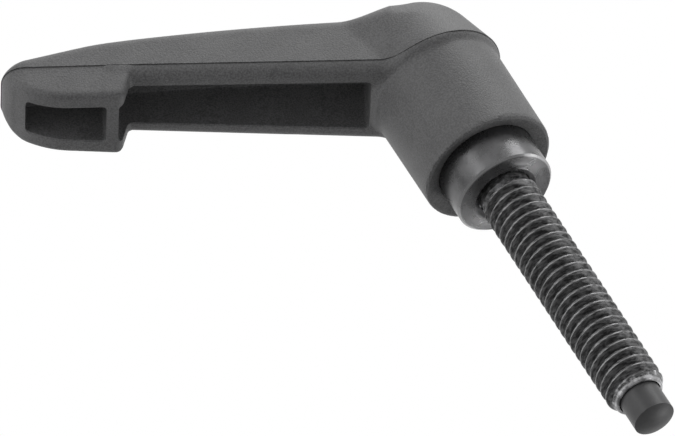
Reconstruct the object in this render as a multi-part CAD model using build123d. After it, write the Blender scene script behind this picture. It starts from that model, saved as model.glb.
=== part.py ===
"""Adjustable clamping lever with a threaded stud and a plastic thrust pin.

The handle sits on a toothed steel insert and is held down by a spring, which bears on the head
of a retaining screw. Lifted clear of the teeth, the handle can be swung to a new position.

Frame: the origin is the centre of the insert's seating face, +Z runs up the stud's axis to the
cap of the handle, and +X points to the free end of the arm. Millimetres and degrees.
"""
import os
from math import acos, atan2, asin, cos, pi, radians, sin, sqrt, tan

from build123d import *

os.makedirs("parts", exist_ok=True)

# ---- Driving dimensions --------------------------------------------------------------------

# fits
RUN_CLEAR = 0.06         # radial gap between a piece and the bore that it turns or slides in
TOOTH_CLEAR = 0.05       # gap all round the meshed teeth
HEAD_CLEAR = 0.35        # radial gap round the screw's head in the handle

# stud: 5/16-18 UNC, its thread drawn as closed rings at the pitch
THREAD_MAJOR = 7.85
THREAD_PITCH = 1.411
THREAD_DEPTH = 0.83
CREST_WIDTH = 0.2        # flat on top of each ring
ROOT_WIDTH = 0.2         # flat between two rings
STUD_REACH = 37.0        # from the seating face to the end of the threaded part
STUD_GRIP = 8.0          # length of plain shank held in the insert
STUD_CHAMFER = 0.7
NECK_DIAMETER = 7.0      # unthreaded neck next to the insert, and the shank
NECK_LENGTH = 1.4

# thrust pin, seated in the stud's end inside a rolled lip
LIP_LENGTH = 0.55
LIP_DRAW = 0.35          # how much the lip's radius draws in over its length
LIP_WALL = 0.12          # thickness of the lip's edge
PIN_DIAMETER = 5.5
PIN_GAP = 0.08           # radial gap between the pin and the lip
PIN_PROUD = 3.9          # length of the pin's straight side outside the lip
PIN_CROWN = 0.5          # height of the slightly domed end
PIN_SEAT_DEPTH = 1.2     # depth of the pin's seat behind the lip's edge
PIN_STEM_DIAMETER = 3.6
PIN_STEM_LENGTH = 5.0

# insert
COLLAR_DIAMETER = 13.4
COLLAR_LENGTH = 10.2
COLLAR_CHAMFER = 0.35
COUNTERSINK_DIAMETER = 9.2
TOOTH_COUNT = 24
TOOTH_TIP_DIAMETER = 12.3
TOOTH_DEPTH = 0.6
TOOTH_LENGTH = 4.2
BOSS_DIAMETER = 9.8
BOSS_LENGTH = 2.2
INSERT_CHAMFER = 0.3

# retaining screw: M4 thread, shouldered, slotted cheese head
SCREW_THREAD_DIAMETER = 4.0
SCREW_THREAD_LENGTH = 6.0
SCREW_SHOULDER_DIAMETER = 4.8
SCREW_HEAD_DIAMETER = 7.2
SCREW_HEAD_LENGTH = 2.6
SCREW_SLOT_WIDTH = 1.1
SCREW_SLOT_DEPTH = 1.2
SCREW_CHAMFER = 0.3

# spring
WIRE_DIAMETER = 0.6
SPRING_LENGTH = 8.4      # between the handle's web and the screw's head, handle down
SPRING_COILS = 4.5

# handle: hub
SKIRT_BOTTOM_Z = 4.95
SKIRT_FOOT_DIAMETER = 17.8
SKIRT_TOP_DIAMETER = 18.1
SKIRT_EDGE_RADIUS = 0.45
FOOT_DISH = 0.7          # height of the shallow cone between the skirt's rim and the bore
CAP_RIM_Z = 20.75
CAP_RIM_DIAMETER = 19.25
CAP_RIM_DROP = 0.85      # height of the rounding that joins the rim to the skirt
PARTING_STEP = 0.12      # the mould's upper half stands this much proud of its lower half
DOME_RADIUS = 8.5
DOME_CENTRE_RISE = 3.4   # height of the dome's centre over the rim
WEB_THICKNESS = 2.2
MOUTH_CHAMFER = 0.4

# handle: arm, measured along the arm (u), across it (y) and square to its underside (v)
ARM_RISE = 24.1          # angle over the seating face
ARM_ROOT_Z = 16.62       # height at which the underside would meet the stud's axis
ARM_REACH = 57.9         # u of the tip
ARM_ROOT_HALF = 7.35     # half width at the stud's axis
ARM_HALF = 5.9           # half width at the shoulder
ARM_TIP_HALF = 5.1       # half width that the sides would reach at the tip
PARTING_V = 1.75         # height of the parting line
DRAFT = 3.0              # slope of the upper half's sides
ARM_TOP_ROOT = 10.1      # height of the top at the stud's axis
ARM_TOP_MIDDLE = 9.1     # half way to the bend
ARM_TOP_BEND = 6.4
TOP_BEND_BACK = 11.9     # from this far short of the tip the top falls more steeply
ARM_TOP_TIP = 3.0
TOP_EDGE_RADIUS = 1.6
LOWER_EDGE_RADIUS = 1.65
TIP_CORNER_RADIUS = 3.1
BLEND_START_U = 13.4     # the arm swells from here into the dome
BLEND_SINK = 0.25        # how far under the dome's surface the swelling ends

# handle: grip, the deeper end of the arm
GRIP_LENGTH = 16.6       # from the shoulder to the tip
SHOULDER_RUN = 0.9       # how far the shoulder slopes along the arm
GRIP_DEPTH = 3.5
GRIP_FLAT_BACK = 8.9     # the flat underside ends this far short of the tip
GRIP_HEEL_BACK = 1.9     # lower corner of the end face, short of the tip
GRIP_HEEL_V = -1.3
GRIP_NOSE_V = 0.9        # height at which the end face stands out furthest
GRIP_EDGE_RADIUS = 0.7

# handle: hollows in the arm
CHANNEL_START_U = 10.1
CHANNEL_START_HALF = 4.35
CHANNEL_END_HALF = 3.4
ROOF_THICKNESS = 1.9
RIB_SETBACK = 1.4        # from the shoulder to the cross rib
RIB_THICKNESS = 1.55
POCKET_END_WALL = 3.2
POCKET_HALF = 3.2
POCKET_END_HALF = 2.75
HOLLOW_CORNER_RADIUS = 0.6

# ---- Values that follow ---------------------------------------------------------------------

lip_z = -STUD_REACH - LIP_LENGTH
pin_seat_z = lip_z + PIN_SEAT_DEPTH
tooth_tip_radius = TOOTH_TIP_DIAMETER / 2
tooth_root_radius = tooth_tip_radius - TOOTH_DEPTH
tooth_top_z = COLLAR_LENGTH + TOOTH_LENGTH
insert_top_z = tooth_top_z + BOSS_LENGTH
web_top_z = insert_top_z + WEB_THICKNESS
head_bottom_z = web_top_z + SPRING_LENGTH
head_top_z = head_bottom_z + SCREW_HEAD_LENGTH
recess_radius = SCREW_HEAD_DIAMETER / 2 + HEAD_CLEAR
spring_radius = (recess_radius - RUN_CLEAR * 2 + SCREW_SHOULDER_DIAMETER / 2) / 2
dome_centre_z = CAP_RIM_Z + DOME_CENTRE_RISE
rise = radians(ARM_RISE)
arm_plane = Plane(
    origin=(0, 0, ARM_ROOT_Z), x_dir=(cos(rise), 0, sin(rise)), z_dir=(-sin(rise), 0, cos(rise))
)
shoulder_u = ARM_REACH - GRIP_LENGTH
top_bend_u = ARM_REACH - TOP_BEND_BACK
rib_u = shoulder_u + RIB_SETBACK
BIG = 4 * ARM_REACH      # more than any length on the part


# ---- Helpers --------------------------------------------------------------------------------

def turned(points):
    """A solid of revolution about Z from a closed outline of (radius, z) points."""
    outline = Polyline(*[(r, z) for r, z in points], close=True)
    return revolve(make_face(Plane.XZ * outline), Axis.Z)


def cylinder(radius, low, high):
    """A cylinder on the Z axis from one height to another."""
    return Pos(0, 0, low) * Cylinder(radius, high - low, align=(Align.CENTER, Align.CENTER, Align.MIN))


def toothed_prism(root, tip, low, high):
    """A prism with pointed teeth all round, from their root and tip radii."""
    points = []
    for i in range(TOOTH_COUNT):
        start = 2 * pi * i / TOOTH_COUNT
        half = pi / TOOTH_COUNT
        points.append((tip * cos(start), tip * sin(start)))
        points.append((root * cos(start + half), root * sin(start + half)))
    outline = make_face(Polyline(*points, close=True))
    return Pos(0, 0, low) * extrude(outline, amount=high - low)


def mirrored(points):
    """Close a half outline of (u, half width) points about the arm's middle."""
    return [(u, -y) for u, y in points] + list(reversed(points))


def side_prism(outline):
    """A prism across the arm from a closed wire of (u, v)."""
    return extrude(make_face(Plane.XZ * outline), amount=BIG, both=True)


# ---- Steel pieces and the thrust pin --------------------------------------------------------

def make_insert():
    collar = COLLAR_DIAMETER / 2
    sink = COUNTERSINK_DIAMETER / 2
    shank = NECK_DIAMETER / 2
    boss = BOSS_DIAMETER / 2
    body = turned([
        (0, 0), (collar - COLLAR_CHAMFER, 0), (collar, COLLAR_CHAMFER), (collar, COLLAR_LENGTH),
        (0, COLLAR_LENGTH),
    ])
    teeth = toothed_prism(tooth_root_radius, tooth_tip_radius, 0, tooth_top_z)
    boss_body = turned([
        (0, 0), (boss, 0), (boss, insert_top_z - INSERT_CHAMFER),
        (boss - INSERT_CHAMFER, insert_top_z), (0, insert_top_z),
    ])
    body = body + teeth + boss_body
    body -= cylinder(shank, 0, STUD_GRIP)
    body -= turned([(0, 0), (sink, 0), (shank, sink - shank), (0, sink - shank)])
    body -= cylinder(SCREW_THREAD_DIAMETER / 2, insert_top_z - SCREW_THREAD_LENGTH, insert_top_z)
    return body


def thread_rings(top, end):
    """Outline points of the rings on the stud, from one height down to another."""
    radius = THREAD_MAJOR / 2
    root = radius - THREAD_DEPTH
    flank = (THREAD_PITCH - CREST_WIDTH - ROOT_WIDTH) / 2
    count = int((top - end - CREST_WIDTH) / THREAD_PITCH)
    start = top - (top - end - count * THREAD_PITCH + CREST_WIDTH) / 2
    points = []
    for i in range(count):
        z = start - i * THREAD_PITCH
        points += [(radius, z), (root, z - flank), (root, z - flank - ROOT_WIDTH)]
        points.append((radius, z - flank * 2 - ROOT_WIDTH))
    return points


def make_stud():
    radius = THREAD_MAJOR / 2
    neck = NECK_DIAMETER / 2
    slope = radius - neck
    pin_bore = PIN_DIAMETER / 2 + PIN_GAP
    thread_top = -NECK_LENGTH - slope
    thread_end = STUD_CHAMFER - STUD_REACH
    body = turned([
        (0, STUD_GRIP), (neck - STUD_CHAMFER, STUD_GRIP), (neck, STUD_GRIP - STUD_CHAMFER),
        (neck, -NECK_LENGTH), (radius, thread_top),
        *thread_rings(thread_top, thread_end),
        (radius, thread_end), (pin_bore + LIP_WALL + LIP_DRAW, -STUD_REACH),
        (pin_bore + LIP_WALL, lip_z), (0, lip_z),
    ])
    body -= cylinder(pin_bore, lip_z, pin_seat_z)
    return body - cylinder(PIN_STEM_DIAMETER / 2, lip_z, pin_seat_z + PIN_STEM_LENGTH)


def make_thrust_pin():
    radius = PIN_DIAMETER / 2
    stem = PIN_STEM_DIAMETER / 2
    edge = lip_z - PIN_PROUD
    stem_top = pin_seat_z + PIN_STEM_LENGTH
    crown_radius = (radius ** 2 + PIN_CROWN ** 2) / (2 * PIN_CROWN)
    half_turn = asin(radius / crown_radius) / 2
    crown_middle = (
        crown_radius * sin(half_turn), edge - PIN_CROWN + crown_radius * (1 - cos(half_turn))
    )
    outline = (
        Polyline(
            (0, edge - PIN_CROWN), (0, stem_top), (stem, stem_top), (stem, pin_seat_z),
            (radius, pin_seat_z), (radius, edge),
        )
        + ThreePointArc((radius, edge), crown_middle, (0, edge - PIN_CROWN))
    )
    return revolve(make_face(Plane.XZ * outline), Axis.Z)


def make_screw():
    thread = SCREW_THREAD_DIAMETER / 2
    shoulder = SCREW_SHOULDER_DIAMETER / 2
    head = SCREW_HEAD_DIAMETER / 2
    end_z = insert_top_z - SCREW_THREAD_LENGTH
    body = turned([
        (0, end_z), (thread - SCREW_CHAMFER, end_z), (thread, end_z + SCREW_CHAMFER),
        (thread, insert_top_z),
        (shoulder, insert_top_z), (shoulder, head_bottom_z), (head, head_bottom_z),
        (head, head_top_z - SCREW_CHAMFER), (head - SCREW_CHAMFER, head_top_z), (0, head_top_z),
    ])
    slot = Box(SCREW_HEAD_DIAMETER * 2, SCREW_SLOT_WIDTH, SCREW_SLOT_DEPTH * 2)
    return body - Pos(0, 0, head_top_z) * slot


def make_spring():
    wire = WIRE_DIAMETER / 2
    coil_height = SPRING_LENGTH - WIRE_DIAMETER
    path = Helix(coil_height / SPRING_COILS, coil_height, spring_radius)
    section = Plane(origin=path @ 0, z_dir=path % 0) * Circle(wire)
    coil = sweep(section, path=path)
    return Pos(0, 0, web_top_z + wire) * coil


# ---- Handle ---------------------------------------------------------------------------------

def hub_body():
    """The skirt, the cap's rim and the dome, as one turned solid."""
    foot = SKIRT_FOOT_DIAMETER / 2
    skirt = SKIRT_TOP_DIAMETER / 2
    rim = CAP_RIM_DIAMETER / 2
    edge = SKIRT_EDGE_RADIUS
    turn = radians(45)
    crease_z = CAP_RIM_Z - CAP_RIM_DROP
    # the straight flank leaves the rim and touches the dome's circle
    reach = sqrt(rim ** 2 + DOME_CENTRE_RISE ** 2)
    touch = atan2(-DOME_CENTRE_RISE, rim) + acos(DOME_RADIUS / reach)
    flank_end = (DOME_RADIUS * cos(touch), dome_centre_z + DOME_RADIUS * sin(touch))
    over = (touch + radians(90)) / 2
    over_top = (DOME_RADIUS * cos(over), dome_centre_z + DOME_RADIUS * sin(over))
    lower_rim = rim - PARTING_STEP
    bulge = (lower_rim - (lower_rim - skirt) * (1 - sin(turn)), crease_z + CAP_RIM_DROP * (1 - cos(turn)))
    bore = COLLAR_DIAMETER / 2
    dish_z = SKIRT_BOTTOM_Z + FOOT_DISH
    outline = (
        Polyline((0, dish_z), (bore, dish_z), (foot - edge, SKIRT_BOTTOM_Z))
        + ThreePointArc(
            (foot - edge, SKIRT_BOTTOM_Z),
            (foot - edge + edge * sin(turn), SKIRT_BOTTOM_Z + edge - edge * cos(turn)),
            (foot, SKIRT_BOTTOM_Z + edge),
        )
        + Line((foot, SKIRT_BOTTOM_Z + edge), (skirt, crease_z))
        + ThreePointArc((skirt, crease_z), bulge, (lower_rim, CAP_RIM_Z))
        + Polyline((lower_rim, CAP_RIM_Z), (rim, CAP_RIM_Z), flank_end)
        + ThreePointArc(flank_end, over_top, (0, dome_centre_z + DOME_RADIUS))
        + Line((0, dome_centre_z + DOME_RADIUS), (0, dish_z))
    )
    # turned from the side away from the arm, so that the seam lies there
    return Rot(0, 0, 180) * revolve(make_face(Plane.XZ * outline), Axis.Z)


def plan_face(inset):
    """The arm's outline seen square to its underside, drawn in by an inset."""
    corner = TIP_CORNER_RADIUS - inset
    tip = ARM_REACH - inset
    points = [(0, ARM_ROOT_HALF - inset), (shoulder_u, ARM_HALF - inset), (tip, ARM_TIP_HALF - inset)]
    face = make_face(Polyline(*mirrored(points), close=True))
    return fillet(face.vertices().filter_by(lambda v: v.X > tip - corner), corner)


def side_outline(drop, floor):
    """The arm's profile from its top line, lowered by a drop, down to a floor."""
    bend = (top_bend_u, ARM_TOP_BEND - drop)
    top = ThreePointArc((0, ARM_TOP_ROOT - drop), (top_bend_u / 2, ARM_TOP_MIDDLE - drop), bend)
    return top + Polyline(bend, (ARM_REACH, ARM_TOP_TIP - drop), (ARM_REACH, floor), (0, floor), top @ 0)


def upper_arm():
    """The half of the arm over the parting line, with its top edges rounded."""
    body = extrude(Pos(0, 0, PARTING_V) * plan_face(0), amount=ARM_TOP_ROOT * 2, taper=DRAFT)
    body = body & side_prism(side_outline(0, PARTING_V))
    # the edges round the top: not at the parting, not upright, not at the root
    edges = body.edges().filter_by(lambda e: e.center().Z > (PARTING_V + ARM_TOP_TIP) / 2)
    edges = edges.filter_by(lambda e: e.center().X > TOP_EDGE_RADIUS and abs((e % 0.5).Z) < 0.5)
    return fillet(edges, TOP_EDGE_RADIUS)


def blend_section(u, half, top, radius):
    """A section square to the arm, over the parting line, with rounded upper corners."""
    inner = half - radius
    diagonal = radius * sin(radians(45))
    wire = (
        Polyline((-inner, top), (inner, top))
        + ThreePointArc((inner, top), (inner + diagonal, top - radius + diagonal), (half, top - radius))
        + Polyline((half, top - radius), (half, PARTING_V), (-half, PARTING_V), (-half, top - radius))
        + ThreePointArc((-half, top - radius), (-inner - diagonal, top - radius + diagonal), (-inner, top))
    )
    return Plane(origin=(u, 0, 0), x_dir=(0, 1, 0), z_dir=(1, 0, 0)) * make_face(wire)


def blend():
    """The swelling that joins the arm's upper half to the dome, between two sections."""
    centre_u = (dome_centre_z - ARM_ROOT_Z) * sin(rise)
    centre_v = (dome_centre_z - ARM_ROOT_Z) * cos(rise)
    lean = tan(radians(DRAFT)) * (ARM_TOP_MIDDLE - PARTING_V) / 2
    half = ARM_ROOT_HALF + (ARM_HALF - ARM_ROOT_HALF) * BLEND_START_U / shoulder_u - lean
    share = 1 - (1 - 2 * BLEND_START_U / top_bend_u) ** 2
    top = ARM_TOP_ROOT + (ARM_TOP_MIDDLE - ARM_TOP_ROOT) * share
    thin = blend_section(BLEND_START_U, half, top, TOP_EDGE_RADIUS)
    reach = DOME_RADIUS - BLEND_SINK
    wide = blend_section(centre_u, reach, centre_v + reach, reach - BLEND_SINK)
    return loft([thin, wide], ruled=True)


def lower_arm():
    """The band under the parting line, with its lower edges rounded."""
    points = [(0, ARM_ROOT_HALF - PARTING_STEP), (shoulder_u, ARM_HALF - PARTING_STEP)]
    face = make_face(Polyline(*mirrored(points), close=True))
    body = extrude(face, amount=PARTING_V)
    edges = body.edges().filter_by(Plane.XY, tolerance=0.01).group_by(Axis.Z)[0]
    edges = edges.filter_by(lambda e: abs(e.center().Y) > LOWER_EDGE_RADIUS)
    return fillet(edges, LOWER_EDGE_RADIUS)


def grip():
    """The deeper end of the arm under the parting line."""
    nose = (ARM_REACH - PARTING_STEP, GRIP_NOSE_V)
    base = (ARM_REACH - GRIP_FLAT_BACK, -GRIP_DEPTH)
    heel = (ARM_REACH - GRIP_HEEL_BACK, GRIP_HEEL_V)
    rounding = TangentArc(base, heel, tangent=(1, 0))
    outline = rounding + Polyline(
        heel, nose, (nose[0], PARTING_V), (shoulder_u, PARTING_V), (shoulder_u, 0),
        (shoulder_u + SHOULDER_RUN, -GRIP_DEPTH), base,
    )
    depth = GRIP_DEPTH * 2
    body = extrude(Pos(0, 0, -depth) * plan_face(PARTING_STEP), amount=depth + PARTING_V)
    body = body & side_prism(outline)
    edges = body.edges().filter_by(lambda e: e.center().Z < -GRIP_DEPTH / 3)
    return fillet(edges, GRIP_EDGE_RADIUS)


def hollow(points):
    """A hollow opening in the arm's underside, from a half outline of (u, half width) points."""
    face = make_face(Polyline(*mirrored(points), close=True))
    face = fillet(face.vertices(), HOLLOW_CORNER_RADIUS)
    depth = GRIP_DEPTH * 2
    body = extrude(Pos(0, 0, -depth) * face, amount=depth + ARM_TOP_ROOT)
    return arm_plane * (body & side_prism(side_outline(ROOF_THICKNESS, -depth)))


def channel():
    """The long hollow between the hub and the cross rib."""
    return hollow([(CHANNEL_START_U, CHANNEL_START_HALF), (rib_u, CHANNEL_END_HALF)])


def pocket():
    """The short hollow in the grip, beyond the cross rib."""
    return hollow([(rib_u + RIB_THICKNESS, POCKET_HALF), (ARM_REACH - POCKET_END_WALL, POCKET_END_HALF)])


def hub_hollow():
    """Everything cut from the hub along the stud's axis."""
    collar_bore = COLLAR_DIAMETER / 2 + RUN_CLEAR
    boss_bore = BOSS_DIAMETER / 2 + RUN_CLEAR
    shoulder_bore = SCREW_SHOULDER_DIAMETER / 2 + RUN_CLEAR
    dome_top = dome_centre_z + DOME_RADIUS
    mouth_z = dome_centre_z + sqrt(DOME_RADIUS ** 2 - recess_radius ** 2)
    core = cylinder(collar_bore, 0, COLLAR_LENGTH + TOOTH_CLEAR)
    core += toothed_prism(
        tooth_root_radius + TOOTH_CLEAR, tooth_tip_radius + TOOTH_CLEAR, 0, tooth_top_z + TOOTH_CLEAR
    )
    core += cylinder(boss_bore, 0, insert_top_z)
    core += cylinder(shoulder_bore, 0, dome_top)
    core += cylinder(recess_radius, web_top_z, dome_top + 1)
    core += turned([
        (0, mouth_z - MOUTH_CHAMFER), (recess_radius, mouth_z - MOUTH_CHAMFER),
        (recess_radius + BIG, mouth_z - MOUTH_CHAMFER + BIG), (0, mouth_z - MOUTH_CHAMFER + BIG),
    ])
    return core


def make_handle():
    upper = arm_plane * (upper_arm() + blend())
    lower = arm_plane * (lower_arm() + grip())
    body = hub_body() + upper + lower
    body -= channel()
    body -= pocket()
    body -= hub_hollow()
    return body


# ---- Write the nodes ------------------------------------------------------------------------

pieces = {
    "handle": make_handle,
    "threaded_insert": make_insert,
    "threaded_stud": make_stud,
    "thrust_pin": make_thrust_pin,
    "retaining_screw": make_screw,
    "spring": make_spring,
}
for name, make in pieces.items():
    shape = make()
    export_step(shape, f"parts/{name}.step")
    print(name, len(shape.solids()), round(shape.volume, 2))
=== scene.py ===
"""Looks for the adjustable clamping lever: detailed meshes, materials, light and camera.

Lengths are named in millimetres, in the part's own frame, and meshes are written in metres.
"""

import math

import bmesh
import bpy
import numpy as np
from mathutils import Matrix, Vector


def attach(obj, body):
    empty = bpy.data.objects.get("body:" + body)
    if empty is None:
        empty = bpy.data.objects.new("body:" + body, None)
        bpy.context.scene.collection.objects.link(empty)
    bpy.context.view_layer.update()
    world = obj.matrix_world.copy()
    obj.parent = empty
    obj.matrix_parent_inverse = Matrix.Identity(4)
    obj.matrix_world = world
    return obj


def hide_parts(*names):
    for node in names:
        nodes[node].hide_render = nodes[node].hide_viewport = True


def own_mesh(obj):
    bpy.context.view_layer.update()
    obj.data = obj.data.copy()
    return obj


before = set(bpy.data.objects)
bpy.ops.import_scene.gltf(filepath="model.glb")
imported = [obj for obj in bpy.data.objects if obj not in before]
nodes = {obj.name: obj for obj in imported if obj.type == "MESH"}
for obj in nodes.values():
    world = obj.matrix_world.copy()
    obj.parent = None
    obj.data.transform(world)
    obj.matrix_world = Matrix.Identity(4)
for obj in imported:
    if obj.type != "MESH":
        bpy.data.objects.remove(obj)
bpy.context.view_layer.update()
MM = 0.001

# ---- Camera ---------------------------------------------------------------------------------

CAMERA_AT = (0.3553, 0.7783, -0.6091)
CAMERA_RIGHT = (-0.899, 0.041, -0.437)
CAMERA_BACK = (0.319, 0.744, -0.587)
SENSOR_WIDTH = 36.0
LENS = 436.8
CLIP_START = 0.05
CLIP_END = 20


def make_camera():
    data = bpy.data.cameras.new("camera")
    data.sensor_fit = "HORIZONTAL"
    data.sensor_width = SENSOR_WIDTH
    data.lens = LENS
    data.clip_start = CLIP_START
    data.clip_end = CLIP_END
    camera = bpy.data.objects.new("camera", data)
    bpy.context.scene.collection.objects.link(camera)
    back = Vector(CAMERA_BACK).normalized()
    right = Vector(CAMERA_RIGHT)
    right = (right - back * right.dot(back)).normalized()
    up = back.cross(right)
    turn = Matrix((right, up, back)).transposed().to_4x4()
    camera.matrix_world = Matrix.Translation(CAMERA_AT) @ turn
    bpy.context.scene.camera = camera


make_camera()

# ---- Sizes of the stud, in millimetres ------------------------------------------------------

THREAD_MAJOR = 3.925
THREAD_PITCH = 1.411
THREAD_DEPTH = 0.83
THREAD_SHIFT = 0.95
CREST_SHARE = 0.14
ROOT_SHARE = 0.16
THREAD_STEP = 0.06
NECK_RADIUS = 3.5
STUD_REACH = 37.0
STUD_GRIP = 8.0
STUD_CHAMFER = 0.7
NECK_LENGTH = 0.5
NECK_SLOPE = 0.7
LIP_LENGTH = 0.55
LIP_DRAW = 0.35
LIP_WALL = 0.12
PIN_BORE = 2.9
PIN_BORE_DEPTH = 1.0
STUD_COLUMNS = 128
CORE = 0.05
STUD_SHARP = math.radians(32)


# ---- Mesh helpers ---------------------------------------------------------------------------

def linked_object(name, data):
    obj = bpy.data.objects.new(name, data)
    bpy.context.scene.collection.objects.link(obj)
    return obj


def mesh_object(name, verts, faces, sharp):
    """An object from millimetre vertices, smooth but for edges sharper than an angle."""
    data = bpy.data.meshes.new(name)
    data.from_pydata([tuple(float(c) * MM for c in v) for v in verts], [], faces)
    data.validate()
    data.update()
    obj = linked_object(name, data)
    mark_sharp(obj, sharp)
    return obj


def mark_sharp(obj, sharp):
    """Smooth shading, but for edges sharper than an angle."""
    bm = bmesh.new()
    bm.from_mesh(obj.data)
    for edge in bm.edges:
        edge.smooth = len(edge.link_faces) == 2 and edge.calc_face_angle(0) < sharp
    for face in bm.faces:
        face.smooth = True
    bm.to_mesh(obj.data)
    bm.free()


def lathe_grid(radii, heights):
    """Vertices and faces of a closed round body from radii[row][column] and each row's height."""
    rows, columns = radii.shape
    angle = 2 * np.pi * np.arange(columns) / columns
    x = radii * np.cos(angle)
    y = radii * np.sin(angle)
    z = np.repeat(np.asarray(heights)[:, None], columns, axis=1)
    verts = np.stack([x, y, z], axis=-1).reshape(-1, 3).tolist()
    faces = []
    for row in range(0, (rows - 1) * columns, columns):
        for j in range(columns):
            k = (j + 1) % columns
            faces.append((row + j, row + k, row + columns + k, row + columns + j))
    faces.append(tuple(reversed(range(columns))))
    faces.append(tuple(range((rows - 1) * columns, rows * columns)))
    return verts, faces


def tube_faces(rows, size):
    """Faces of a tube with closed ends, from rows of as many points each."""
    faces = []
    for row in range(0, (rows - 1) * size, size):
        for j in range(size):
            k = (j + 1) % size
            faces.append((row + j, row + size + j, row + size + k, row + k))
    faces.append(tuple(range(size)))
    faces.append(tuple(reversed(range((rows - 1) * size, rows * size))))
    return faces


def profile_at(z, points):
    """Radius at heights z from (height, radius) points in rising order."""
    zs, rs = zip(*points)
    return np.interp(z, zs, rs)


# ---- Node helpers ---------------------------------------------------------------------------

class Graph:
    """Makes and links the nodes that the materials and the world use."""

    def __init__(self, tree):
        self.nodes = tree.nodes
        self.links = tree.links

    def feed(self, socket, value):
        """Give a socket a link, a number or a colour."""
        if isinstance(value, (int, float)):
            socket.default_value = value
        elif isinstance(value, tuple):
            socket.default_value = (*value, 1)
        else:
            self.links.new(value, socket)

    def math(self, operation, *values):
        node = self.nodes.new("ShaderNodeMath")
        node.operation = operation
        for socket, value in zip(node.inputs, values):
            self.feed(socket, value)
        return node.outputs[0]

    def ramp(self, value, low, high, bottom=0.0, top=1.0):
        """A smooth step from bottom to top as the value goes from low to high."""
        node = self.nodes.new("ShaderNodeMapRange")
        node.interpolation_type = "SMOOTHSTEP"
        named = (
            ("Value", value), ("From Min", low), ("From Max", high), ("To Min", bottom), ("To Max", top),
        )
        for name, given in named:
            self.feed(node.inputs[name], given)
        return node.outputs["Result"]

    def noise(self, vector, scale, detail, rough=0.5):
        node = self.nodes.new("ShaderNodeTexNoise")
        named = (("Vector", vector), ("Scale", scale), ("Detail", detail), ("Roughness", rough))
        for name, given in named:
            self.feed(node.inputs[name], given)
        return node.outputs["Fac"]

    def mix(self, factor, first, second):
        """A colour from the first to the second as the factor goes from 0 to 1."""
        node = self.nodes.new("ShaderNodeMix")
        node.data_type = "RGBA"
        self.feed(node.inputs["Factor"], factor)
        self.feed(node.inputs[6], first)
        self.feed(node.inputs[7], second)
        return node.outputs[2]

    def bump(self, height, distance, strength):
        node = self.nodes.new("ShaderNodeBump")
        named = (("Height", height), ("Distance", distance), ("Strength", strength))
        for name, given in named:
            self.feed(node.inputs[name], given)
        return node.outputs["Normal"]

    def coords(self):
        return self.nodes.new("ShaderNodeTexCoord").outputs["Object"]

    def drawn(self, vector, across):
        """Coordinates shrunk across the stud's axis, so that a pattern is drawn out round it."""
        node = self.nodes.new("ShaderNodeVectorMath")
        node.operation = "MULTIPLY"
        node.inputs[1].default_value = (across, across, 1.0)
        self.feed(node.inputs[0], vector)
        return node.outputs[0]

    def axis_parts(self, vector):
        """Distance from the stud's axis, and height, in metres."""
        parts = self.nodes.new("ShaderNodeSeparateXYZ")
        self.feed(parts.inputs[0], vector)
        x, y, z = parts.outputs
        total = self.math("MULTIPLY_ADD", x, x, self.math("MULTIPLY", y, y))
        return self.math("SQRT", total), z


def new_material(name, color, roughness, metallic=0.0):
    material = bpy.data.materials.new(name)
    material.use_nodes = True
    shader = material.node_tree.nodes["Principled BSDF"]
    graph = Graph(material.node_tree)
    graph.feed(shader.inputs["Base Color"], color)
    graph.feed(shader.inputs["Roughness"], roughness)
    graph.feed(shader.inputs["Metallic"], metallic)
    return material, graph, shader.inputs


# ---- Materials ------------------------------------------------------------------------------
# Noise scales are in features to a metre, and bump distances in metres.

PLASTIC_TONES = ((0.098, 0.098, 0.1), (0.192, 0.192, 0.194))
PLASTIC_GRAIN = 4400
PLASTIC_CLOUD = 260
GRAIN_BUMP = 0.00009
PIN_TONES = ((0.044, 0.044, 0.046), (0.058, 0.058, 0.06))
PIN_CLOUD = 900
PIN_BUMP = 0.00001
BLACKENED_TONES = ((0.1, 0.1, 0.102), (0.14, 0.14, 0.143))
BLACKENED_CLOUD = 500
# Paler steel, for the turned face and for the painted highlight on the collar's chamfer edge.
PALE_STEEL = (0.4, 0.4, 0.405)
PALE_FADE = 0.1
CHAMFER_HIGHLIGHT_SHARE = 0.8
FACE_SHARE = 0.28
TURNING_WOBBLE = 400
TURNING_BUMP = 0.000004
INSERT_TURNING = 52000.0
SCREW_TURNING = 40000.0
HIGHLIGHT_RADIUS = 6.38
HIGHLIGHT_HEIGHT = 0.4
STUD_TONES = ((0.06, 0.06, 0.061), (0.22, 0.22, 0.222))
STUD_CLOUD = 900
STUD_STREAKS = 6500
STREAK_ACROSS = 0.16
STREAK_BUMP = 0.00003
# Pale steel, for the bare rolled end and for the painted highlights on the crests and at the neck.
BARE_STEEL_AND_HIGHLIGHT = (0.52, 0.52, 0.53)
WIRE_TONES = ((0.38, 0.38, 0.39), (0.6, 0.6, 0.61))
WIRE_CLOUD = 1500
WIRE_BUMP = 0.000005


def moulded_plastic():
    """Filled nylon with the fine grain of a spark-eroded mould."""
    material, graph, inputs = new_material("moulded_plastic", (0.15, 0.15, 0.152), 0.5)
    coords = graph.coords()
    grain = graph.noise(coords, PLASTIC_GRAIN, 2.0, 0.6)
    cloud = graph.noise(coords, PLASTIC_CLOUD, 3.0)
    tone = graph.math("MULTIPLY_ADD", grain, 0.8, graph.math("MULTIPLY", cloud, 0.2))
    graph.feed(inputs["Base Color"], graph.mix(graph.ramp(tone, 0.34, 0.66), *PLASTIC_TONES))
    graph.feed(inputs["Roughness"], graph.ramp(grain, 0.3, 0.7, 0.46, 0.62))
    graph.feed(inputs["Normal"], graph.bump(grain, GRAIN_BUMP, 0.8))
    return material


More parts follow.
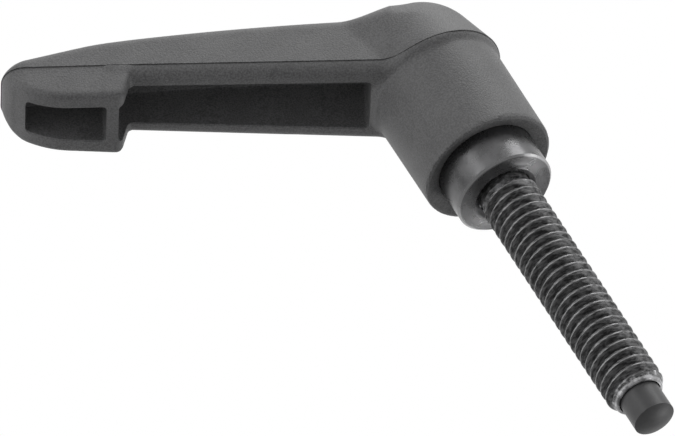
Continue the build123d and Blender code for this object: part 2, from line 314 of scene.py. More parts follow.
def smooth_plastic():
    """The thrust pin's plain turned plastic."""
    material, graph, inputs = new_material("smooth_plastic", (0.11, 0.11, 0.112), 0.42)
    cloud = graph.noise(graph.coords(), PIN_CLOUD, 3.0, 0.6)
    graph.feed(inputs["Base Color"], graph.mix(graph.ramp(cloud, 0.3, 0.7), *PIN_TONES))
    graph.feed(inputs["Normal"], graph.bump(cloud, PIN_BUMP, 0.4))
    return material


def blackened_steel(name, turned_scale, highlight_radius=1000.0, highlight_height=0.0):
    """Black-oxide steel with the marks of turning.

    It is paler on the face at height 0, and carries a painted highlight where it lies both beyond
    a radius and below a height, in millimetres: the collar's chamfer edge.
    """
    material, graph, inputs = new_material(name, (0.16, 0.16, 0.163), 0.34, 0.85)
    coords = graph.coords()
    radius, height = graph.axis_parts(coords)
    wobble = graph.noise(coords, TURNING_WOBBLE, 2.0)
    along = graph.math("ADD", radius, height)
    marks = graph.math("SINE", graph.math("MULTIPLY_ADD", along, turned_scale, wobble))
    cloud = graph.noise(coords, BLACKENED_CLOUD, 4.0, 0.6)
    black = graph.mix(graph.ramp(cloud, 0.3, 0.75), *BLACKENED_TONES)
    # Painted highlight: the chamfer edge, beyond a radius and below a height, is painted paler to stand
    # in for the light along it.
    rim = graph.ramp(radius, highlight_radius * MM, (highlight_radius + PALE_FADE) * MM)
    low = graph.ramp(height, (highlight_height - PALE_FADE) * MM, highlight_height * MM, 1.0, 0.0)
    painted_highlight = graph.math("MULTIPLY", graph.math("MULTIPLY", rim, low), CHAMFER_HIGHLIGHT_SHARE)
    face = graph.ramp(height, 0.0, PALE_FADE * MM, FACE_SHARE, 0.0)
    paler = graph.math("MAXIMUM", painted_highlight, face)
    graph.feed(inputs["Base Color"], graph.mix(paler, black, PALE_STEEL))
    graph.feed(inputs["Roughness"], graph.ramp(cloud, 0.2, 0.8, 0.24, 0.32))
    graph.feed(inputs["Normal"], graph.bump(marks, TURNING_BUMP, 0.5))
    return material


def bare_and_highlight_share(graph, cloud, height):
    """How bare the stud is at its rolled end, and the painted highlight patches where its thread runs
    out at the neck.
    """
    low = graph.math("MULTIPLY_ADD", cloud, 0.2 * MM, height)
    rolled = graph.ramp(low, -(STUD_REACH + 0.15) * MM, -(STUD_REACH - 0.1) * MM, 1.0, 0.0)
    lip = graph.math("MULTIPLY", rolled, graph.ramp(cloud, 0.38, 0.6, 0.25, 1.0))
    end = graph.ramp(low, -(STUD_REACH - 0.6) * MM, -(STUD_REACH - 1.1) * MM, 1.0, 0.0)
    chamfer = graph.math("MULTIPLY", end, graph.ramp(cloud, 0.45, 0.58, 0.0, 0.8))
    # Painted highlight: pale patches where the thread runs out at the neck stand in for light glinting
    # there.
    run_out = graph.ramp(height, -(NECK_LENGTH + 1.6) * MM, -(NECK_LENGTH + 0.5) * MM)
    neck_highlight = graph.math("MULTIPLY", run_out, graph.ramp(cloud, 0.4, 0.62, 0.05, 0.75))
    return graph.math("MAXIMUM", graph.math("MAXIMUM", lip, chamfer), neck_highlight)


def stud_steel():
    """Black oxide with streaks along the thread, crests rubbed and partly painted with a highlight, bare
    at the rolled end, with painted highlight patches at the neck.
    """
    material, graph, inputs = new_material("stud_steel", (0.055, 0.055, 0.056), 0.38, 0.8)
    coords = graph.coords()
    radius, height = graph.axis_parts(coords)
    cloud = graph.noise(coords, STUD_CLOUD, 4.0, 0.65)
    streaks = graph.noise(graph.drawn(coords, STREAK_ACROSS), STUD_STREAKS, 3.0, 0.6)
    dark = graph.mix(graph.ramp(streaks, 0.35, 0.68), *STUD_TONES)
    reach = graph.math("MULTIPLY_ADD", cloud, 0.06 * MM, radius)
    # Partly rubbed wear, partly painted highlight: the crests are painted paler to stand in for the
    # light glinting along them.
    crest = graph.ramp(reach, (THREAD_MAJOR - 0.06) * MM, (THREAD_MAJOR + 0.02) * MM)
    crest_wear_and_highlight = graph.math("MULTIPLY", crest, graph.ramp(streaks, 0.35, 0.6, 0.04, 0.2))
    bright = graph.math("MAXIMUM", crest_wear_and_highlight, bare_and_highlight_share(graph, cloud, height))
    graph.feed(inputs["Base Color"], graph.mix(bright, dark, BARE_STEEL_AND_HIGHLIGHT))
    graph.feed(inputs["Roughness"], graph.ramp(streaks, 0.3, 0.7, 0.3, 0.52))
    graph.feed(inputs["Normal"], graph.bump(streaks, STREAK_BUMP, 0.6))
    return material


def spring_wire():
    """Bright drawn wire."""
    material, graph, inputs = new_material("spring_wire", (0.5, 0.5, 0.51), 0.3, 1.0)
    cloud = graph.noise(graph.coords(), WIRE_CLOUD, 3.0, 0.6)
    graph.feed(inputs["Base Color"], graph.mix(cloud, *WIRE_TONES))
    graph.feed(inputs["Normal"], graph.bump(cloud, WIRE_BUMP, 0.4))
    return material


def dress(obj, material):
    obj.data.materials.clear()
    obj.data.materials.append(material)


# ---- Stud with its thread -------------------------------------------------------------------

def thread_radius(z, angle):
    """Radius of an endless right-hand thread at heights z and angles."""
    turn = ((z[:, None] - THREAD_SHIFT) / THREAD_PITCH - angle[None, :] / (2 * np.pi)) % 1.0
    from_root = np.abs(turn - 0.5) * 2
    flank = (from_root - ROOT_SHARE) / (1 - ROOT_SHARE - CREST_SHARE)
    return THREAD_MAJOR - THREAD_DEPTH * (1 - np.clip(flank, 0, 1))


def stud_sides():
    """Radii and heights of the chamfer, the thread, the neck and the shank in the insert."""
    envelope = [
        (-STUD_REACH, PIN_BORE + LIP_WALL + LIP_DRAW),
        (-STUD_REACH + STUD_CHAMFER, THREAD_MAJOR),
        (-NECK_LENGTH - NECK_SLOPE, THREAD_MAJOR), (-NECK_LENGTH, NECK_RADIUS),
        (STUD_GRIP - STUD_CHAMFER, NECK_RADIUS), (STUD_GRIP, NECK_RADIUS - STUD_CHAMFER),
    ]
    fine = np.arange(-STUD_REACH, -NECK_LENGTH, THREAD_STEP)
    coarse = np.array([z for z, r in envelope if z > -STUD_REACH])
    heights = np.unique(np.concatenate([fine, coarse]))
    angle = 2 * np.pi * np.arange(STUD_COLUMNS) / STUD_COLUMNS
    limit = profile_at(heights, envelope)[:, None]
    thread = thread_radius(heights, angle)
    threaded = np.where(heights[:, None] < -NECK_LENGTH, thread, THREAD_MAJOR)
    return np.minimum(limit, threaded), heights


def stud_end():
    """Radii and heights of the rolled lip and the mouth of the bore behind it."""
    draw = np.linspace(0, 1, 6)[:0:-1] * np.pi / 2
    lip_z = -STUD_REACH - LIP_LENGTH
    bore_z = lip_z + PIN_BORE_DEPTH
    radii = PIN_BORE + LIP_WALL + LIP_DRAW * np.cos(draw)
    heights = -STUD_REACH - LIP_LENGTH * np.sin(draw)
    return np.append([CORE, PIN_BORE, PIN_BORE], radii), np.append([bore_z, bore_z, lip_z], heights)


def make_stud():
    sides, side_heights = stud_sides()
    end, end_heights = stud_end()
    radii = np.concatenate([np.repeat(end[:, None], STUD_COLUMNS, axis=1), sides])
    verts, faces = lathe_grid(radii, np.concatenate([end_heights, side_heights]))
    return mesh_object("stud_threaded", verts, faces, STUD_SHARP)


# ---- Spring ---------------------------------------------------------------------------------

SPRING_LOW = 18.8
SPRING_HIGH = 27.2
WIRE_RADIUS = 0.3
COIL_RADIUS = 3.115
COILS = 4.5
SPRING_RINGS = 220
WIRE_SIDES = 12
SPRING_SHARP = math.radians(28)


def make_spring():
    turned = np.linspace(0, 1, SPRING_RINGS)
    angle = 2 * np.pi * COILS * turned
    z = SPRING_LOW + WIRE_RADIUS + (SPRING_HIGH - SPRING_LOW - 2 * WIRE_RADIUS) * turned
    centre = np.stack([COIL_RADIUS * np.cos(angle), COIL_RADIUS * np.sin(angle), z], -1)
    out = np.stack([np.cos(angle), np.sin(angle), np.zeros(SPRING_RINGS)], -1)
    verts = []
    for c, o in zip(centre, out):
        for k in range(WIRE_SIDES):
            a = 2 * math.pi * k / WIRE_SIDES
            verts.append(c + WIRE_RADIUS * (o * math.cos(a) + np.array([0, 0, math.sin(a)])))
    faces = tube_faces(SPRING_RINGS, WIRE_SIDES)
    return mesh_object("coil_spring", verts, faces, SPRING_SHARP)


# ---- Handle ---------------------------------------------------------------------------------
# u runs along the arm, y across it and v square to both, from the arm's root on the stud's axis.

RISE = math.radians(24.1)
ARM_ROOT_Z = 16.62
ARM_REACH = 57.9
PLAN_STATIONS = (0.0, 41.3, 57.9)
PLAN_HALVES = (7.35, 5.9, 5.1)
SHOULDER_U = 41.3
SHOULDER_RUN = 0.9
GRIP_DEPTH = 3.5
GRIP_FLAT_END_U = 49.0
GRIP_HEEL = (56.0, -1.3)
GRIP_NOSE_V = 0.9
GRIP_EDGE = 0.7
GRIP_FLOOR_EDGE = 0.8
GRIP_BLEND = 0.45
BAND_OVERLAP = 3.0
PARTING_V = 1.75
PARTING_STEP = 0.12
SEAM_EDGE = 0.5
LOWER_SEAM_EDGE = 0.2
PARTING_EASE = 0.25
DRAFT = math.radians(3.0)
TOP_STATIONS = (0.0, 23.0, 46.0, 57.9)
TOP_HEIGHTS = (10.1, 9.1, 6.4, 3.0)
TOP_BEND_EASE = 1.6
TOP_EDGE = 1.6
LOWER_EDGE = 1.65
TIP_CORNER = 3.1
ROOF_THICKNESS = 1.9
CAP_RIM_Z = 20.75
CAP_RIM_RADIUS = 9.625
CAP_RIM_ROUND = 1.25
DOME_RADIUS = 8.5
DOME_CENTRE_Z = 24.15
BLEND_AT_PARTING = 0.9
BLEND_ON_TOP = 4.5
BLEND_FULL_V = 9.0
ROOT_SINK = 0.6
ROOT_SINK_U = 7.5
SKIRT_BOTTOM_Z = 4.95
SKIRT_FOOT_RADIUS = 8.9
SKIRT_TOP_RADIUS = 9.05
SKIRT_EDGE = 0.45
FOOT_DISH = 0.7
SKIRT_BLEND = 0.3
RIM_CREASE = 0.15
MARGIN = 1.5
LOWER_MARGIN = 0.5
ARM_ALONE_U = 20.0
GROOVE_HEIGHT = 0.16
GROOVE_DEPTH = 0.1
PARTING_SQUEEZE = 0.02
PROBE = 0.02
HANDLE_LOW = (-11.0, -11.0, 3.0)
HANDLE_HIGH = (55.0, 11.0, 44.0)
UPPER_LOW_Z = 17.0
HANDLE_CELL = 0.38
HANDLE_SHARP = math.radians(30)
CHANNEL_START_U = 10.1
CHANNEL_START_HALF = 4.35
CHANNEL_END_HALF = 3.4
RIB_U = 42.7
RIB_THICKNESS = 1.55
POCKET_HALF = 3.2
POCKET_END_U = 54.7
POCKET_END_HALF = 2.75
HOLLOW_CORNER = 0.6
HOLLOW_MOUTH_EASE = 0.16
HOLLOW_BELOW = 8.0
ROOF_EASE = 0.5
ROOF_EASE_MIDDLE = 0.15
COLLAR_BORE = 6.76
COLLAR_BORE_TOP = 10.25
BOSS_BORE = 4.96
SHOULDER_BORE = 2.46
WEB_BOTTOM_Z = 16.6
WEB_TOP_Z = 18.8
RECESS_RADIUS = 3.95
MOUTH_CHAMFER = 0.4
BORE_LOW_Z = 3.0
BORE_HIGH_Z = 36.0
HUB_COLUMNS = 120
TOOTH_COUNT = 24
TOOTH_TIP_RADIUS = 6.2
TOOTH_ROOT_RADIUS = 5.6
TOOTH_TOP = 14.45
CUT_OVERLAP = 1.0

top_u = np.linspace(-12, 70, 657)


def smooth_top_line():
    """The arm's top line: an arc, then a straight fall, with the bend between them eased."""
    (u0, u1, u2, u3), (v0, v1, v2, v3) = TOP_STATIONS, TOP_HEIGHTS
    t = (top_u - u0) / (u2 - u0)
    arc = v0 * (2 * t - 1) * (t - 1) + v1 * 4 * t * (1 - t) + v2 * t * (2 * t - 1)
    fall = v2 + (v3 - v2) * (top_u - u2) / (u3 - u2)
    line = np.where(top_u < u2, arc, fall)
    reach = 24
    apart = np.arange(-reach, reach + 1) * (top_u[1] - top_u[0])
    kernel = np.exp(-0.5 * (apart / TOP_BEND_EASE) ** 2)
    padded = np.pad(line, reach, mode="reflect", reflect_type="odd")
    return np.convolve(padded, kernel / kernel.sum(), mode="valid")


top_v = smooth_top_line()
top_slope = np.gradient(top_v, top_u)


def arm_coords(p):
    """The u, y and v of points given in the part's frame."""
    x, y, z = p[:, 0], p[:, 1], p[:, 2] - ARM_ROOT_Z
    return x * math.cos(RISE) + z * math.sin(RISE), y, z * math.cos(RISE) - x * math.sin(RISE)


def part_point(u, y, v):
    """A point in the part's frame from its u, y and v."""
    x = u * math.cos(RISE) - v * math.sin(RISE)
    return (x, y, ARM_ROOT_Z + u * math.sin(RISE) + v * math.cos(RISE))


def both(a, b, radius):
    """Distance to what two shapes share, with a rounded edge."""
    corner = np.hypot(np.maximum(a + radius, 0), np.maximum(b + radius, 0))
    return np.minimum(np.maximum(a, b), -radius) + corner


def either(a, b, radius):
    """Distance to two shapes joined, with a rounded inner corner."""
    return -both(-a, -b, radius)


def parting_height(x):
    """Height of the surface in which the mould's halves meet."""
    arm = ARM_ROOT_Z + (PARTING_V + x * math.sin(RISE)) / math.cos(RISE)
    gap = arm - CAP_RIM_Z
    return CAP_RIM_Z + (gap + np.sqrt(gap ** 2 + PARTING_EASE)) / 2


def above_parting(p):
    """Height of points over the parting."""
    return p[:, 2] - parting_height(p[:, 0])


def plan_distance(u, y, inset, lean):
    """Distance to the arm's outline seen from above, drawn in by an inset and a lean."""
    half = np.interp(u, PLAN_STATIONS, PLAN_HALVES) - inset - lean
    return both(np.abs(y) - half, u - (ARM_REACH - inset - lean), TIP_CORNER - inset)


def cap_distance(p):
    """Distance to the dome and the straight flank between it and the cap's rim."""
    r = np.hypot(p[:, 0], p[:, 1])
    z = p[:, 2] - DOME_CENTRE_Z
    drop = DOME_CENTRE_Z - CAP_RIM_Z
    reach = math.hypot(CAP_RIM_RADIUS, drop)
    touch = math.atan2(-drop, CAP_RIM_RADIUS) + math.acos(DOME_RADIUS / reach)
    flank = r * math.cos(touch) + z * math.sin(touch) - DOME_RADIUS
    sphere = np.hypot(r, z) - DOME_RADIUS
    return np.where(z * math.cos(touch) < r * math.sin(touch), flank, sphere)


def arm_and_dome(p):
    """The dome, the arm's upper half and the swelling between them."""
    u, y, v = arm_coords(p)
    lean = math.tan(DRAFT) * (v - PARTING_V)
    plan = plan_distance(u, y, 0.0, lean) * math.cos(DRAFT)
    slope = np.interp(u, top_u, top_slope)
    top = (v - np.interp(u, top_u, top_v)) / np.sqrt(1 + slope ** 2)
    arm = both(plan, top, TOP_EDGE)
    arm = np.maximum(arm + ROOT_SINK * np.maximum(ROOT_SINK_U - u, 0), -u)
    blend = np.interp(v, (PARTING_V, BLEND_FULL_V), (BLEND_AT_PARTING, BLEND_ON_TOP))
    return either(arm, cap_distance(p), blend)


def on_parting(p, least):
    """Points moved straight up or down to at least, or exactly, the parting's height."""
    height = parting_height(p[:, 0])
    return np.stack([p[:, 0], p[:, 1], np.maximum(p[:, 2], height) if least else height], -1)


def upper_distance(p):
    """The half of the handle over the parting, carried straight down for a while below it."""
    return both(arm_and_dome(on_parting(p, True)), -above_parting(p) - MARGIN, SEAM_EDGE)


def grip_floor(u):
    """The grip's underside, flat and then curving up to its heel."""
    rise = GRIP_HEEL[1] + GRIP_DEPTH
    run = GRIP_HEEL[0] - GRIP_FLAT_END_U
    radius = (run ** 2 + rise ** 2) / (2 * rise)
    along = np.clip(u - GRIP_FLAT_END_U, 0, run)
    return -GRIP_DEPTH + radius - np.sqrt(radius ** 2 - along ** 2)


def skirt_distance(p):
    """Distance to the skirt, and the rim over it up to the parting."""
    r = np.hypot(p[:, 0], p[:, 1])
    z = p[:, 2]
    body = np.interp(z, [SKIRT_BOTTOM_Z, CAP_RIM_Z], [SKIRT_FOOT_RADIUS, SKIRT_TOP_RADIUS])
    skirt = both(r - body, SKIRT_BOTTOM_Z - z, SKIRT_EDGE)
    rim = both(r - CAP_RIM_RADIUS + PARTING_STEP, CAP_RIM_Z - CAP_RIM_ROUND - z, CAP_RIM_ROUND)
    return either(skirt, rim, RIM_CREASE)


def band_distance(p):
    """Distance to the arm's rounded band, whose outline is the upper half's at the parting."""
    u, y, v = arm_coords(p)
    seam = arm_and_dome(on_parting(p, False)) + PARTING_STEP
    plan = plan_distance(u, y, PARTING_STEP, 0.0)
    outline = np.where(u < ARM_ALONE_U, np.maximum(seam, -u), plan)
    band = both(outline, np.maximum(-v, CAP_RIM_Z - LOWER_EDGE - p[:, 2]), LOWER_EDGE)
    return np.maximum(band, u - SHOULDER_U - BAND_OVERLAP)


def grip_distance(p):
    """Distance to the deeper grip at the arm's end, with its leaning back and rising nose."""
    u, y, v = arm_coords(p)
    lean = math.atan2(SHOULDER_RUN, GRIP_DEPTH)
    back = (SHOULDER_U - u) * math.cos(lean) - v * math.sin(lean)
    heel_u, heel_v = GRIP_HEEL
    run = ARM_REACH - PARTING_STEP - heel_u
    rise = GRIP_NOSE_V - heel_v
    nose = ((u - heel_u) * rise - (v - heel_v) * run) / math.hypot(run, rise)
    under = both(grip_floor(u) - v, back, GRIP_FLOOR_EDGE)
    under = both(under, nose, GRIP_FLOOR_EDGE)
    return both(plan_distance(u, y, PARTING_STEP, 0.0), under, GRIP_EDGE)


def lower_distance(p):
    """The half under the parting, carried straight up for a while above it."""
    arm = either(band_distance(p), grip_distance(p), GRIP_BLEND)
    joined = either(skirt_distance(p), arm, SKIRT_BLEND)
    return both(joined, above_parting(p) - LOWER_MARGIN, LOWER_SEAM_EDGE)


def settle(points, distance, steps=8):
    """Move points onto the surface where the distance is nought."""
    least_square = 0.25
    longest = 0.6
    probes = np.eye(3) * PROBE
    for _ in range(steps):
        d = distance(points)
        g = [(distance(points + a) - distance(points - a)) / (2 * PROBE) for a in probes]
        g = np.stack(g, -1)
        move = -g * (d / np.maximum((g ** 2).sum(-1), least_square))[:, None]
        size = np.linalg.norm(move, axis=-1, keepdims=True)
        points = points + move * np.minimum(1, longest / np.maximum(size, 1e-9))
    return points


def crossed_cells(inside):
    """Cells of a grid that the surface passes through, from whether each corner is inside."""
    nx, ny, nz = (n - 1 for n in inside.shape)
    corners = [(i, j, k) for i in (0, 1) for j in (0, 1) for k in (0, 1)]
    count = sum(inside[i:nx + i, j:ny + j, k:nz + k].astype(int) for i, j, k in corners)
    return (count > 0) & (count < 8)


def net_faces(inside, index):
    """Quads that join the numbered cells round each grid edge that the surface crosses."""
    faces = []
    for axis in range(3):
        a, b = [m for m in range(3) if m != axis]
        first = np.take(inside, range(inside.shape[axis] - 1), axis)
        second = np.take(inside, range(1, inside.shape[axis]), axis)
        for solid, outward in ((first & ~second, True), (~first & second, False)):
            at = np.argwhere(solid)
            ring = []
            for da, db in ((0, 0), (-1, 0), (-1, -1), (0, -1)):
                cell_at = at.copy()
                cell_at[:, a] += da
                cell_at[:, b] += db
                ring.append(index[tuple(cell_at.T)])
            quad = np.stack(ring, -1)
            faces.append(quad if outward == (axis != 1) else quad[:, ::-1])
    return np.concatenate(faces)


def surface_mesh(distance, low, high, cell):
    """Vertices and quads of the surface where the distance is nought, evened out."""
    xs = [np.arange(a, b + cell, cell) for a, b in zip(low, high)]
    grid = np.stack(np.meshgrid(*xs, indexing="ij"), -1)
    inside = distance(grid.reshape(-1, 3)).reshape(grid.shape[:3]) < 0
    crossed = crossed_cells(inside)
    index = -np.ones(crossed.shape, int)
    index[crossed] = np.arange(crossed.sum())
    faces = net_faces(inside, index)
    verts = np.argwhere(crossed) * cell + np.array(low) + cell / 2
    verts = settle(verts, distance)
    edges = np.concatenate([faces[:, [i, (i + 1) % 4]] for i in range(4)])
    for _ in range(4):
        total = np.zeros_like(verts)
        number = np.zeros(len(verts))
        for one, other in ((0, 1), (1, 0)):
            np.add.at(total, edges[:, one], verts[edges[:, other]])
            np.add.at(number, edges[:, one], 1)
        verts = settle(0.4 * verts + 0.6 * total / number[:, None], distance, 3)
    return verts, faces


def parted_mesh(verts, faces, levels):
    """A mesh whose heights are measured from the parting, with edges cut in at some levels."""
    bm = bmesh.new()
    heights = above_parting(verts)
    for v, height in zip(verts, heights):
        bm.verts.new((v[0], v[1], height))
    bm.verts.ensure_lookup_table()
    for face in faces:
        bm.faces.new([bm.verts[i] for i in face])
    for level in levels:
        whole = bm.verts[:] + bm.edges[:] + bm.faces[:]
        bmesh.ops.bisect_plane(bm, geom=whole, dist=1e-5, plane_co=(0, 0, level), plane_no=(0, 0, 1))
    return bm


def pinched(points, over, distance):
    """Points drawn in level towards the surface's inside, to sink a groove under the parting."""
    side = np.array([PROBE, 0, 0])
    depth = np.array([0, PROBE, 0])
    gx = distance(points + side) - distance(points - side)
    gy = distance(points + depth) - distance(points - depth)
    share = np.clip((over + GROOVE_HEIGHT) / GROOVE_HEIGHT, 0, 1) * GROOVE_DEPTH
    share = share / np.maximum(np.hypot(gx, gy), 1e-6)
    return points - np.stack([gx * share, gy * share, np.zeros(len(points))], -1)


def half_mesh(name, distance, low, high, is_upper):
    """One half of the handle, with a crisp edge along the parting."""
    verts, faces = surface_mesh(distance, low, high, HANDLE_CELL)
    bm = parted_mesh(verts, faces, (0.0,) if is_upper else (0.0, -GROOVE_HEIGHT))
    points = np.array([v.co for v in bm.verts])
    over = points[:, 2].copy()
    kept = np.where(over < 0, over * PARTING_SQUEEZE, over) if is_upper else over
    points[:, 2] = kept + parting_height(points[:, 0])
    if not is_upper:
        points = pinched(points, over, distance)
    for v, p in zip(bm.verts, points):
        v.co = p * MM
    data = bpy.data.meshes.new(name)
    bm.to_mesh(data)
    bm.free()
    return linked_object(name, data)


def carve(obj, other, operation):
    """Apply a boolean with another object, which is then removed."""
    modifier = obj.modifiers.new("carve", "BOOLEAN")
    modifier.operation = operation
    modifier.solver = "MANIFOLD"
    modifier.object = other
    bpy.context.view_layer.update()
    graph = bpy.context.evaluated_depsgraph_get()
    data = bpy.data.meshes.new_from_object(obj.evaluated_get(graph))
    obj.modifiers.clear()
    obj.data = data
    bpy.data.objects.remove(other)


def hollow_section(u, half, floor):
    """The hollow's outline at one place along the arm."""
    roof = float(np.interp(u, top_u, top_v)) - ROOF_THICKNESS
    mouth = floor(u)
    side = [
        (half + HOLLOW_MOUTH_EASE, -HOLLOW_BELOW), (half + HOLLOW_MOUTH_EASE, mouth),
        (half, mouth + HOLLOW_MOUTH_EASE),
        (half, roof - ROOF_EASE), (half - ROOF_EASE_MIDDLE, roof - ROOF_EASE_MIDDLE),
        (half - ROOF_EASE, roof),
    ]
    section = side + [(-y, v) for y, v in reversed(side)]
    return [part_point(u, y, v) for y, v in section]


def hollow_cutter(name, start, start_half, end, end_half, floor):
    """A cutter for a hollow in the arm's underside, with eased corners and mouth."""
    corner = HOLLOW_CORNER
    near = corner * (1 - np.cos(np.linspace(0, np.pi / 2, 7)))
    middle = np.linspace(start + corner, end - corner, 48)[1:-1]
    rows = []
    for u in np.concatenate([start + near, middle, (end - near)[::-1]]):
        half = start_half + (end_half - start_half) * (u - start) / (end - start)
        into = min(u - start, end - u, corner)
        half -= corner - math.sqrt(max(corner ** 2 - (corner - into) ** 2, 0))
        rows.append(hollow_section(u, half, floor))
    faces = tube_faces(len(rows), len(rows[0]))
    return closed_object(name, [p for row in rows for p in row], faces)


def closed_object(name, verts, faces):
    """A closed mesh object with its faces turned outwards."""
    bm = bmesh.new()
    made = [bm.verts.new(tuple(float(c) * MM for c in v)) for v in verts]
    for face in faces:
        bm.faces.new([made[i] for i in face])
    bmesh.ops.triangulate(bm, faces=[f for f in bm.faces if len(f.verts) > 4])
    bmesh.ops.recalc_face_normals(bm, faces=bm.faces[:])
    data = bpy.data.meshes.new(name)
    bm.to_mesh(data)
    bm.free()
    return linked_object(name, data)


def turned_object(name, outline, columns):
    """A solid of revolution from (radius, height) points, flat from its ends to the axis."""
    radii = np.array([[r] * columns for r, z in outline])
    verts, faces = lathe_grid(radii, [z for r, z in outline])
    return closed_object(name, verts, faces)


def toothed_prism(name, tip, root, low, high):
    """A prism with pointed teeth all round."""
    ring = []
    for i in range(TOOTH_COUNT):
        start = 2 * math.pi * i / TOOTH_COUNT
        for angle, r in ((start, tip), (start + math.pi / TOOTH_COUNT, root)):
            ring.append((r * math.cos(angle), r * math.sin(angle)))
    size = len(ring)
    verts = [(x, y, z) for z in (low, high) for x, y in ring]
    faces = [(j, (j + 1) % size, size + (j + 1) % size, size + j) for j in range(size)]
    faces += [tuple(reversed(range(size))), tuple(range(size, 2 * size))]
    return closed_object(name, verts, faces)


def channel_floor(u):
    """How far down the channel's mouth lies, so that it also cuts the grip's leaning back."""
    return float(np.interp(u, [SHOULDER_U, SHOULDER_U + SHOULDER_RUN], [0, -GRIP_DEPTH]))


def pocket_floor(u):
    return float(grip_floor(np.array(u)))


def hub_cutter():
    """A cutter for the hub's bores, its teeth and the recess over its web."""
    foot = SKIRT_FOOT_RADIUS - SKIRT_EDGE
    mouth_z = DOME_CENTRE_Z + math.sqrt(DOME_RADIUS ** 2 - RECESS_RADIUS ** 2)
    bore = turned_object("bore", [
        (foot, BORE_LOW_Z), (foot, SKIRT_BOTTOM_Z),
        (COLLAR_BORE, SKIRT_BOTTOM_Z + FOOT_DISH), (COLLAR_BORE, COLLAR_BORE_TOP),
        (BOSS_BORE, COLLAR_BORE_TOP), (BOSS_BORE, WEB_BOTTOM_Z),
        (SHOULDER_BORE, WEB_BOTTOM_Z), (SHOULDER_BORE, WEB_TOP_Z),
        (RECESS_RADIUS, WEB_TOP_Z), (RECESS_RADIUS, mouth_z - MOUTH_CHAMFER),
        (RECESS_RADIUS + BORE_HIGH_Z - mouth_z, BORE_HIGH_Z - MOUTH_CHAMFER),
    ], HUB_COLUMNS)
    low = COLLAR_BORE_TOP - CUT_OVERLAP
    teeth = toothed_prism("teeth", TOOTH_TIP_RADIUS, TOOTH_ROOT_RADIUS, low, TOOTH_TOP)
    carve(bore, teeth, "UNION")
    return bore


def make_handle():
    upper_low = (*HANDLE_LOW[:2], UPPER_LOW_Z)
    handle = half_mesh("handle_moulded", upper_distance, upper_low, HANDLE_HIGH, True)
    lower = half_mesh("handle_lower", lower_distance, HANDLE_LOW, HANDLE_HIGH, False)
    carve(handle, lower, "UNION")
    channel = hollow_cutter(
        "channel", CHANNEL_START_U, CHANNEL_START_HALF, RIB_U, CHANNEL_END_HALF, channel_floor)
    carve(handle, channel, "DIFFERENCE")
    pocket = hollow_cutter(
        "pocket", RIB_U + RIB_THICKNESS, POCKET_HALF, POCKET_END_U, POCKET_END_HALF, pocket_floor)
    carve(handle, pocket, "DIFFERENCE")
    carve(handle, hub_cutter(), "DIFFERENCE")
    bm = bmesh.new()
    bm.from_mesh(handle.data)
    bmesh.ops.dissolve_degenerate(bm, dist=1e-7, edges=bm.edges[:])
    bm.to_mesh(handle.data)
    bm.free()
    mark_sharp(handle, HANDLE_SHARP)
    return handle


# ---- Insert ---------------------------------------------------------------------------------

COLLAR_RADIUS = 6.7
COLLAR_LENGTH = 10.2
COLLAR_CHAMFER = 0.35
FACE_RINGS = 9
FACE_RING_STEPS = 8
FACE_RING_DEPTH = 0.012
SINK_RADIUS = 4.35
SINK_DEPTH = 0.3
HOLE_RADIUS = 3.72
HOLE_DEPTH = 0.9
BOSS_RADIUS = 4.9
TOOTH_GAP = 0.05
INSERT_TOP = 16.6
INSERT_CHAMFER = 0.3
STUD_BORE = 3.51
SCREW_BORE = 2.01
SCREW_BORE_DEPTH = 6.0
INSERT_COLUMNS = 144
INSERT_SHARP = math.radians(20)


def ringed_face():
    """Outline of the collar's end face, with the fine rings that turning left on it."""
    points = FACE_RINGS * FACE_RING_STEPS + 1
    radii = np.linspace(SINK_RADIUS, COLLAR_RADIUS - COLLAR_CHAMFER, points)
    phase = np.linspace(0, 2 * np.pi * FACE_RINGS, points)
    return [(r, FACE_RING_DEPTH * (1 - math.cos(a)) / 2) for r, a in zip(radii, phase)]


def make_insert():
    """The steel insert: a turned collar, a crown of teeth and a boss, bored at both ends."""
    boss_low = TOOTH_TOP - 2 * TOOTH_GAP
    insert = turned_object("insert_turned", [
        (CORE, STUD_GRIP), (STUD_BORE, STUD_GRIP), (STUD_BORE, HOLE_DEPTH),
        (HOLE_RADIUS, HOLE_DEPTH), (HOLE_RADIUS, SINK_DEPTH), *ringed_face(),
        (COLLAR_RADIUS, COLLAR_CHAMFER), (COLLAR_RADIUS, COLLAR_LENGTH),
        (TOOTH_ROOT_RADIUS, COLLAR_LENGTH), (TOOTH_ROOT_RADIUS, boss_low),
        (BOSS_RADIUS, boss_low), (BOSS_RADIUS, INSERT_TOP - INSERT_CHAMFER),
        (BOSS_RADIUS - INSERT_CHAMFER, INSERT_TOP), (CORE, INSERT_TOP),
    ], INSERT_COLUMNS)
    crown = toothed_prism(
        "crown", TOOTH_TIP_RADIUS - TOOTH_GAP, TOOTH_ROOT_RADIUS - TOOTH_GAP,
        COLLAR_LENGTH - CUT_OVERLAP, TOOTH_TOP - TOOTH_GAP)
    carve(insert, crown, "UNION")
    bore_end = INSERT_TOP - SCREW_BORE_DEPTH
    bore_mouth = INSERT_TOP + CUT_OVERLAP
    tapping = turned_object(
        "tapping", [(SCREW_BORE, bore_end), (SCREW_BORE, bore_mouth)], HUB_COLUMNS)
    carve(insert, tapping, "DIFFERENCE")
    mark_sharp(insert, INSERT_SHARP)
    return insert


# ---- Build ----------------------------------------------------------------------------------

handle = make_handle()
dress(handle, moulded_plastic())
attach(handle, "handle_body")
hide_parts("handle")

dress(nodes["thrust_pin"], smooth_plastic())
dress(nodes["retaining_screw"], blackened_steel("screw_steel", SCREW_TURNING))

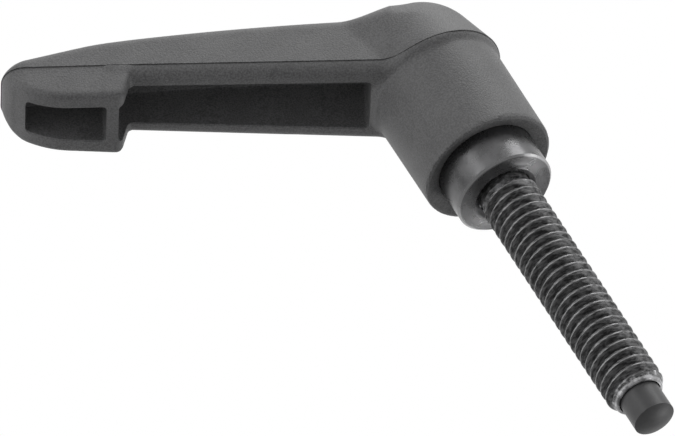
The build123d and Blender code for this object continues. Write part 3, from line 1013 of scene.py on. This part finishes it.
insert = make_insert()
dress(insert, blackened_steel("blackened_steel", INSERT_TURNING, HIGHLIGHT_RADIUS, HIGHLIGHT_HEIGHT))
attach(insert, "base")
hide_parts("threaded_insert")

stud = make_stud()
dress(stud, stud_steel())
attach(stud, "base")
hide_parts("threaded_stud")

spring = make_spring()
dress(spring, spring_wire())
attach(spring, "spring_body")
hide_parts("spring")
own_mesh(spring)

# ---- Light, floor and background, in metres -------------------------------------------------

LIGHT_TARGET = Vector((0.01, 0, 0))
SOFT_SIZE = 0.55
WORLD_LIGHT = 0.28
FLOOR_HALF = 6.0
FLOOR_LEVEL = -2.2
FLOOR_TONES = ((0.9, 0.9, 0.9), (0.94, 0.94, 0.94))


def area_light(name, place, size, power):
    """A round lamp that faces the part."""
    data = bpy.data.lights.new(name, "AREA")
    data.shape = "DISK"
    data.size = size
    data.energy = power
    obj = linked_object(name, data)
    obj.location = place
    obj.rotation_euler = (Vector(place) - LIGHT_TARGET).to_track_quat("Z", "Y").to_euler()


def from_view(right, up, back):
    """A place round the part given along the camera's own axes."""
    turn = bpy.context.scene.camera.matrix_world.to_3x3()
    return tuple(turn @ Vector((right, up, back)))


def place_at(azimuth, elevation, distance):
    """A place round the part given by its angles in degrees and its distance."""
    a, e = math.radians(azimuth), math.radians(elevation)
    flat = distance * math.cos(e)
    return (flat * math.cos(a), flat * math.sin(a), distance * math.sin(e))


def make_world():
    """A weak even light, seen as plain white by the camera and by mirror and glass rays."""
    world = bpy.data.worlds.new("studio")
    bpy.context.scene.world = world
    world.use_nodes = True
    graph = Graph(world.node_tree)
    graph.nodes.clear()
    path = graph.nodes.new("ShaderNodeLightPath").outputs
    direct = graph.math("MAXIMUM", path["Is Camera Ray"], path["Is Transmission Ray"])
    mix = graph.nodes.new("ShaderNodeMixShader")
    graph.feed(mix.inputs[0], graph.math("MAXIMUM", direct, path["Is Glossy Ray"]))
    for socket, strength in ((mix.inputs[1], WORLD_LIGHT), (mix.inputs[2], 1.0)):
        background = graph.nodes.new("ShaderNodeBackground")
        graph.feed(background.inputs["Color"], (1.0, 1.0, 1.0))
        graph.feed(background.inputs["Strength"], strength)
        graph.feed(socket, background.outputs[0])
    graph.feed(graph.nodes.new("ShaderNodeOutputWorld").inputs[0], mix.outputs[0])


def make_floor():
    corners = ((-1, -1), (1, -1), (1, 1), (-1, 1))
    data = bpy.data.meshes.new("floor")
    verts = [(x * FLOOR_HALF, y * FLOOR_HALF, FLOOR_LEVEL) for x, y in corners]
    data.from_pydata(verts, [], [(0, 1, 2, 3)])
    floor = linked_object("floor", data)
    material, graph, inputs = new_material("floor_paint", (0.92, 0.92, 0.92), 0.8)
    tone = graph.noise(graph.coords(), 3.0, 2.0)
    graph.feed(inputs["Base Color"], graph.mix(tone, *FLOOR_TONES))
    data.materials.append(material)


area_light("key", place_at(228, -42, 0.8), 0.14, 0.6)
area_light("over", from_view(0.2, 1.0, -0.4), SOFT_SIZE, 4.4)
area_light("left", from_view(-1.0, 0.0, 0.5), SOFT_SIZE, 1.6)
area_light("front_left", from_view(-1.0, 0.7, 0.6), SOFT_SIZE, 1.6)
area_light("right", from_view(1.0, 0.3, -0.4), SOFT_SIZE, 1.0)
area_light("low_right", place_at(178, -35, 0.9), 0.3, 1.2)
make_world()
make_floor()
bpy.context.scene.view_settings.view_transform = "Standard"
